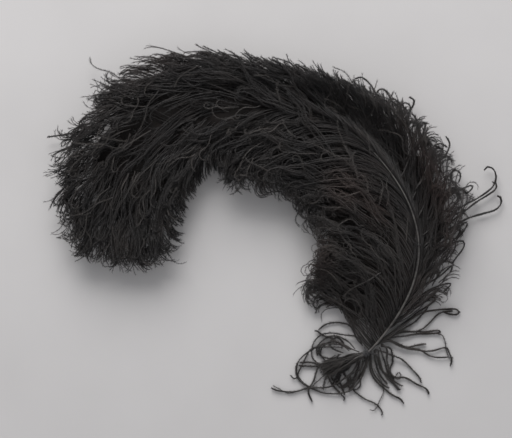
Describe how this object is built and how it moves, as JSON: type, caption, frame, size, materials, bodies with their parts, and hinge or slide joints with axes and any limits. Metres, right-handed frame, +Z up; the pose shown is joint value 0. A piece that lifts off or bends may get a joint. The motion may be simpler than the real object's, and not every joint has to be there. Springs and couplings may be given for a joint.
{
  "type": "curled ostrich plume",
  "caption": "Black ostrich plume lying flat in a wide hook, three feathers with wired shafts sewn together, soft curled barbs on both sides and a short thread-whipped stem",
  "frame": {"origin": "under the middle of the plume's box, on the surface that it lies on", "axes": "+Z up off the surface, through the plume's thickness; +X along its longest extent, from the curled tip towards the fringe beside the stem; +Y towards the top of the hook"},
  "size_m": [0.4234, 0.3652, 0.04],
  "materials": {
    "shaft_keratin": "dyed feather shaft, satin",
    "covered_wire": "thread-covered millinery wire, dull",
    "vane_black": "dyed black barbs with a soft sheen",
    "vane_brown_black": "dyed black barbs fading to brown",
    "sewing_thread": "twisted cotton thread",
    "loose_flue": "wispy dyed down"
  },
  "bodies": {
    "root": {"under_shaft": "shaft_keratin", "middle_shaft": "shaft_keratin", "face_shaft": "shaft_keratin", "support_wire": "covered_wire", "under_inner_vane_lower": "vane_brown_black", "under_inner_vane_middle": "vane_black", "under_inner_vane_upper": "vane_black", "under_inner_vane_tip": "vane_black", "under_outer_vane_lower": "vane_brown_black", "under_outer_vane_middle": "vane_black", "under_outer_vane_upper": "vane_black", "under_outer_vane_tip": "vane_black", "middle_inner_vane_lower": "vane_brown_black", "middle_inner_vane_middle": "vane_black", "middle_inner_vane_upper": "vane_black", "middle_inner_vane_tip": "vane_black", "middle_outer_vane_lower": "vane_brown_black", "middle_outer_vane_middle": "vane_black", "middle_outer_vane_upper": "vane_black", "middle_outer_vane_tip": "vane_black", "face_inner_vane_lower": "vane_brown_black", "face_inner_vane_middle": "vane_black", "face_inner_vane_upper": "vane_black", "face_outer_vane_lower": "vane_brown_black", "face_outer_vane_middle": "vane_black", "face_outer_vane_upper": "vane_black", "thread_tie_1": "sewing_thread", "thread_tie_2": "sewing_thread", "thread_tie_3": "sewing_thread", "knot_whipping": "sewing_thread", "stem_wrap": "loose_flue", "stem_flue_inner": "loose_flue", "stem_flue_outer": "loose_flue", "knot_flue": "loose_flue"}
  },
  "joints": []
}
